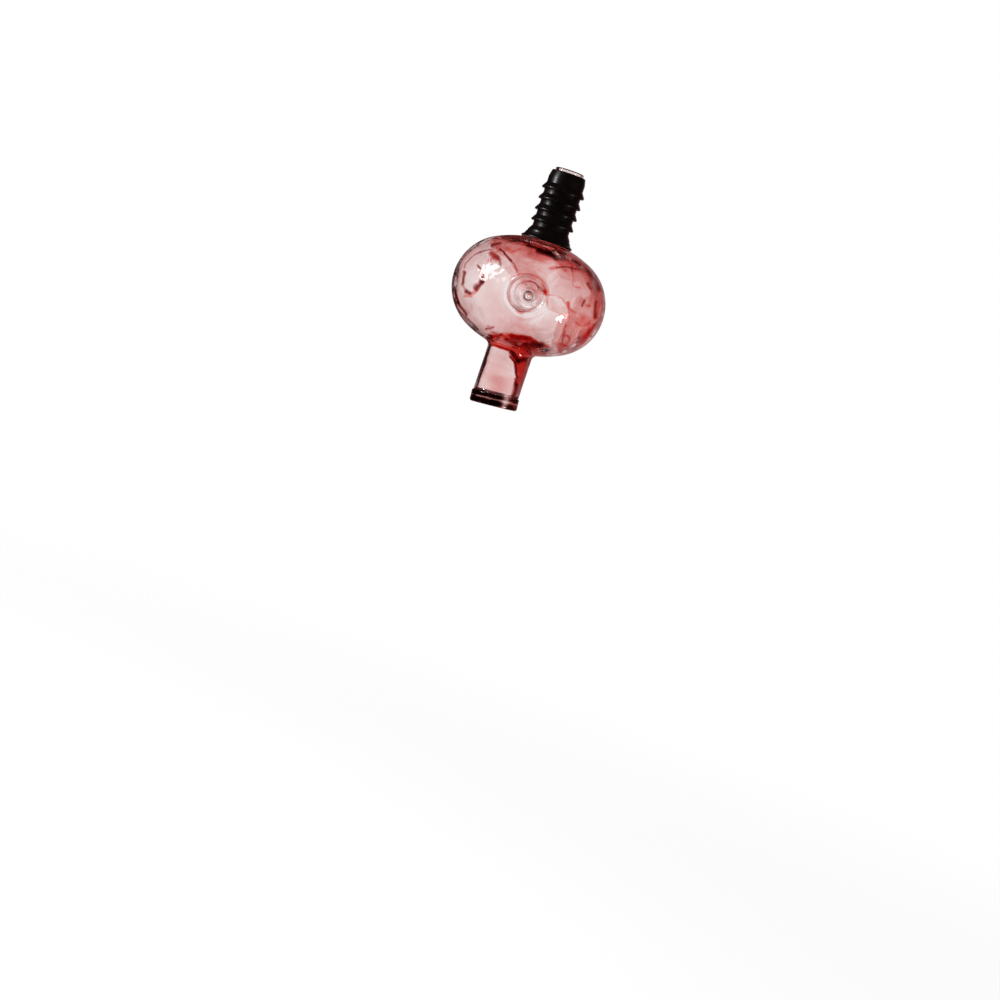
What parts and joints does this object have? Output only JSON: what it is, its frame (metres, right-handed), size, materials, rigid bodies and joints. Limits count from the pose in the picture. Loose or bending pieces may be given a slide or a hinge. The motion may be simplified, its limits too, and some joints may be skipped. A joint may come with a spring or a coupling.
{
  "type": "wine aerator pourer",
  "caption": "Blown glass aerating bulb with a pinched navel, a straight rolled-lip spout and a finned rubber stopper that plugs into a bottle's neck.",
  "frame": {"origin": "on the bore's axis, in the plane where the bottle's rim meets the stopper's skirt", "axes": "+Z along the bore's axis up into the bottle, with the spout hanging down; the navel's dimples open along -Y and +Y; the lip's plane is lower on the -X side"},
  "size_m": [0.07, 0.0664, 0.1102],
  "materials": {
    "black_rubber": "moulded, semi-gloss",
    "clear_glass": "polished",
    "blown_glass": "fire polished, slightly wavy",
    "lip_glass": "fire polished"
  },
  "bodies": {
    "stopper": {"stopper": "black_rubber"},
    "glass": {"inlet_stem": "clear_glass", "chamber_bulb": "blown_glass", "spout_tube": "clear_glass", "spout_lip": "lip_glass"}
  },
  "joints": [
    {"name": "glass_pull_off", "type": "slide", "parent": "stopper", "child": "glass", "axis": [0, 0, -1], "range_m": [0, 0.036]}
  ]
}
